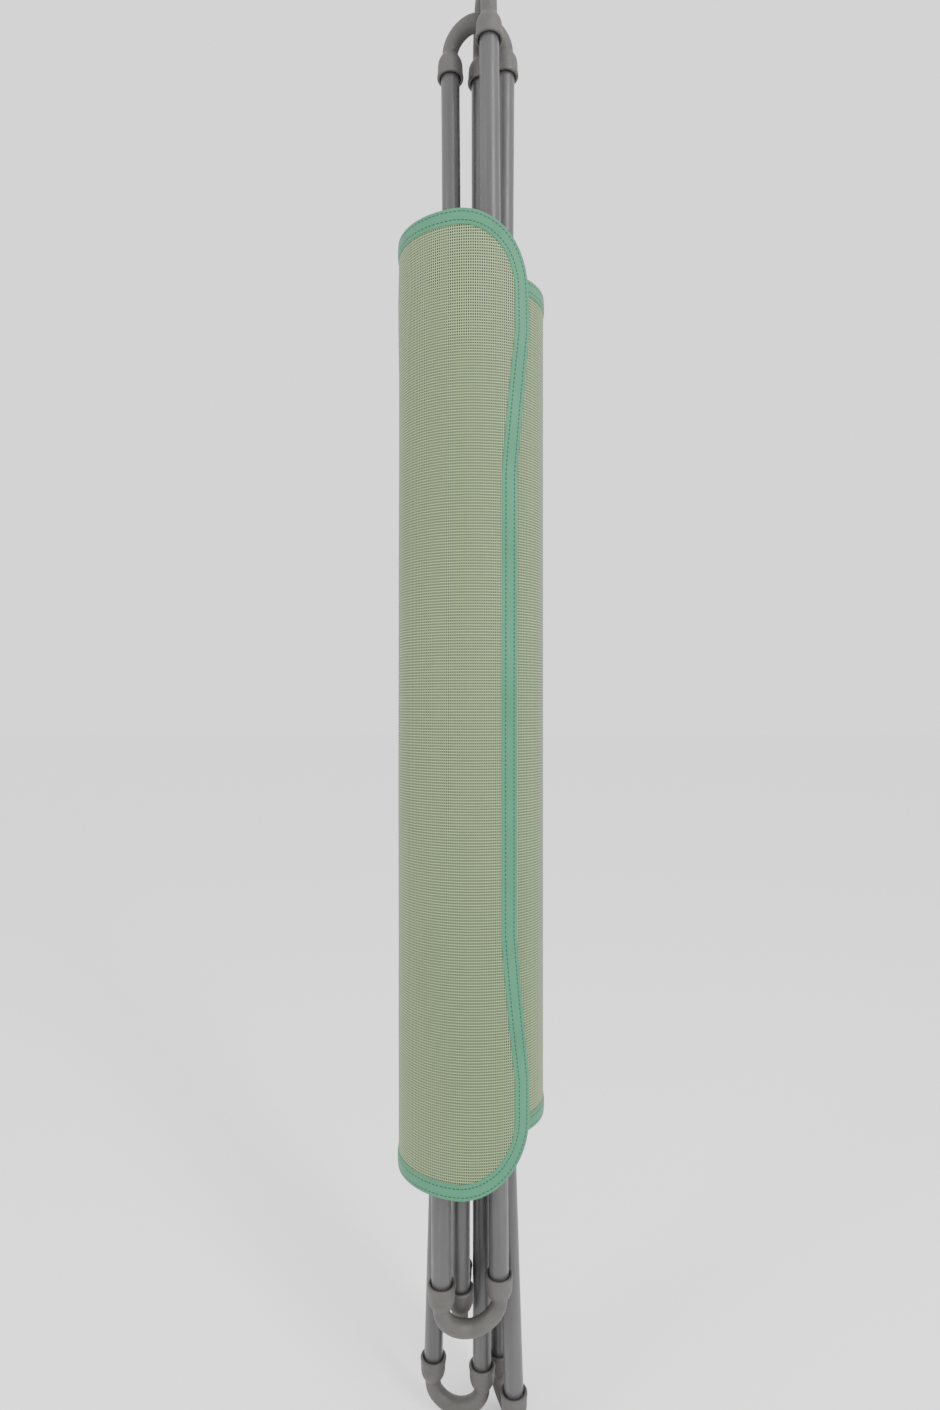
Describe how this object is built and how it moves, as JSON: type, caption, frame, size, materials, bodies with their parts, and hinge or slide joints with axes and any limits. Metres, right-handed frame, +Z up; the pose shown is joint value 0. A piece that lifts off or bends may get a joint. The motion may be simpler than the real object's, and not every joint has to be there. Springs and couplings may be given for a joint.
{
  "type": "folding camp chair",
  "caption": "Low folding camp chair with a crossed tube frame, folded flat with its mesh sling wound round the tubes.",
  "frame": {"origin": "On the floor, under the middle of the folded bundle", "axes": "+Z up the bundle from the feet to the back tops, +X to the right and +Y away from the viewer of the free edge of the sling"},
  "size_m": [0.1185, 0.1099, 1.22],
  "materials": {
    "satin_grey_tube": "satin powder-coated steel tube",
    "grey_connector": "matte flexible moulding",
    "rivet_steel": "plain",
    "spacer_black": "moulded",
    "green_mesh": "open woven mesh",
    "teal_binding": "stitched tape",
    "pocket_cloth": "reinforcing patch"
  },
  "bodies": {
    "sling": {"sling_inner_turns": "green_mesh", "sling_inner_binding_top": "teal_binding", "sling_inner_binding_bottom": "teal_binding", "sling_flap": "green_mesh", "sling_flap_binding": "teal_binding", "pocket_upper_left": "pocket_cloth", "pocket_upper_right": "pocket_cloth", "pocket_lower_left": "pocket_cloth", "pocket_lower_right": "pocket_cloth"},
    "left_crossing": {"left_rivet": "rivet_steel", "left_spacer": "spacer_black"},
    "right_crossing": {"right_rivet": "rivet_steel", "right_spacer": "spacer_black"},
    "front_crossing": {"front_rivet": "rivet_steel", "front_spacer": "spacer_black"},
    "rear_crossing": {"rear_rivet": "rivet_steel", "rear_spacer": "spacer_black"},
    "left_long": {"left_long_tube": "satin_grey_tube", "foot_front_left": "grey_connector", "top_rear_left": "grey_connector"},
    "left_short": {"left_short_tube": "satin_grey_tube", "foot_rear_left": "grey_connector", "top_front_left": "grey_connector"},
    "right_long": {"right_long_tube": "satin_grey_tube", "foot_front_right": "grey_connector", "top_rear_right": "grey_connector"},
    "right_short": {"right_short_tube": "satin_grey_tube", "foot_rear_right": "grey_connector", "top_front_right": "grey_connector"},
    "front_rising": {"front_rising_tube": "satin_grey_tube"},
    "front_falling": {"front_falling_tube": "satin_grey_tube"},
    "rear_rising": {"rear_rising_tube": "satin_grey_tube"},
    "rear_falling": {"rear_falling_tube": "satin_grey_tube"}
  },
  "joints": [
    {"name": "left_crossing_spread", "type": "slide", "parent": "sling", "child": "left_crossing", "axis": [-0.2997, 0.8126, -0.4998], "range_m": [0, 0.4055]},
    {"name": "right_crossing_spread", "type": "slide", "parent": "sling", "child": "right_crossing", "axis": [-0.0404, -0.8467, -0.5305], "range_m": [0, 0.4132]},
    {"name": "front_crossing_spread", "type": "slide", "parent": "sling", "child": "front_crossing", "axis": [-0.8207, -0.154, -0.5502], "range_m": [0, 0.4208]},
    {"name": "rear_crossing_spread", "type": "slide", "parent": "sling", "child": "rear_crossing", "axis": [0.8632, 0.1601, -0.4788], "range_m": [0, 0.3886]},
    {"name": "frame_open", "type": "hinge", "parent": "left_crossing", "child": "left_long", "pos_m": [-0.0155, 0.0185, 0.548], "axis": [-0.3584, 0.9336, 0], "range_deg": [0, 40.05], "deforming": ["foot_front_left", "top_rear_left", "sling_inner_turns", "sling_inner_binding_top", "sling_inner_binding_bottom", "sling_flap", "sling_flap_binding", "pocket_upper_left", "pocket_upper_right", "pocket_lower_left", "pocket_lower_right"]},
    {"name": "left_short_swing", "type": "hinge", "parent": "left_crossing", "child": "left_short", "pos_m": [-0.0155, 0.0185, 0.548], "axis": [0.3584, -0.9336, 0], "range_deg": [0, 50.79], "deforming": ["foot_rear_left", "top_front_left"]},
    {"name": "right_long_swing", "type": "hinge", "parent": "right_crossing", "child": "right_long", "pos_m": [0.0204, -0.0162, 0.56], "axis": [0.0175, 0.9998, 0], "range_deg": [0, 40.43], "deforming": ["foot_front_right", "top_rear_right"]},
    {"name": "right_short_swing", "type": "hinge", "parent": "right_crossing", "child": "right_short", "pos_m": [0.0204, -0.0162, 0.56], "axis": [-0.0175, -0.9998, 0], "range_deg": [0, 51.02], "deforming": ["foot_rear_right", "top_front_right"]},
    {"name": "front_rising_swing", "type": "hinge", "parent": "front_crossing", "child": "front_rising", "pos_m": [-0.0158, -0.0225, 0.52], "axis": [0.9848, 0.1736, 0], "range_deg": [0, 46.01]},
    {"name": "front_falling_swing", "type": "hinge", "parent": "front_crossing", "child": "front_falling", "pos_m": [-0.0158, -0.0225, 0.52], "axis": [-0.9848, -0.1736, 0], "range_deg": [0, 44.36]},
    {"name": "rear_rising_swing", "type": "hinge", "parent": "rear_crossing", "child": "rear_rising", "pos_m": [0.0186, 0.0182, 0.606], "axis": [0.9848, 0.1736, 0], "range_deg": [0, 45.18]},
    {"name": "rear_falling_swing", "type": "hinge", "parent": "rear_crossing", "child": "rear_falling", "pos_m": [0.0186, 0.0182, 0.606], "axis": [-0.9848, -0.1736, 0], "range_deg": [0, 46.01]}
  ],
  "couplings": [
    {"joint": "left_crossing_spread", "follows": "frame_open", "m_per_rad": 0.5787},
    {"joint": "right_crossing_spread", "follows": "frame_open", "m_per_rad": 0.58972},
    {"joint": "front_crossing_spread", "follows": "frame_open", "m_per_rad": 0.60059},
    {"joint": "rear_crossing_spread", "follows": "frame_open", "m_per_rad": 0.55452},
    {"joint": "left_short_swing", "follows": "frame_open", "ratio": 1.2632},
    {"joint": "right_long_swing", "follows": "frame_open", "ratio": 1.0045},
    {"joint": "right_short_swing", "follows": "frame_open", "ratio": 1.2689},
    {"joint": "front_rising_swing", "follows": "frame_open", "ratio": 1.1439},
    {"joint": "front_falling_swing", "follows": "frame_open", "ratio": 1.1026},
    {"joint": "rear_rising_swing", "follows": "frame_open", "ratio": 1.1231},
    {"joint": "rear_falling_swing", "follows": "frame_open", "ratio": 1.1438}
  ]
}
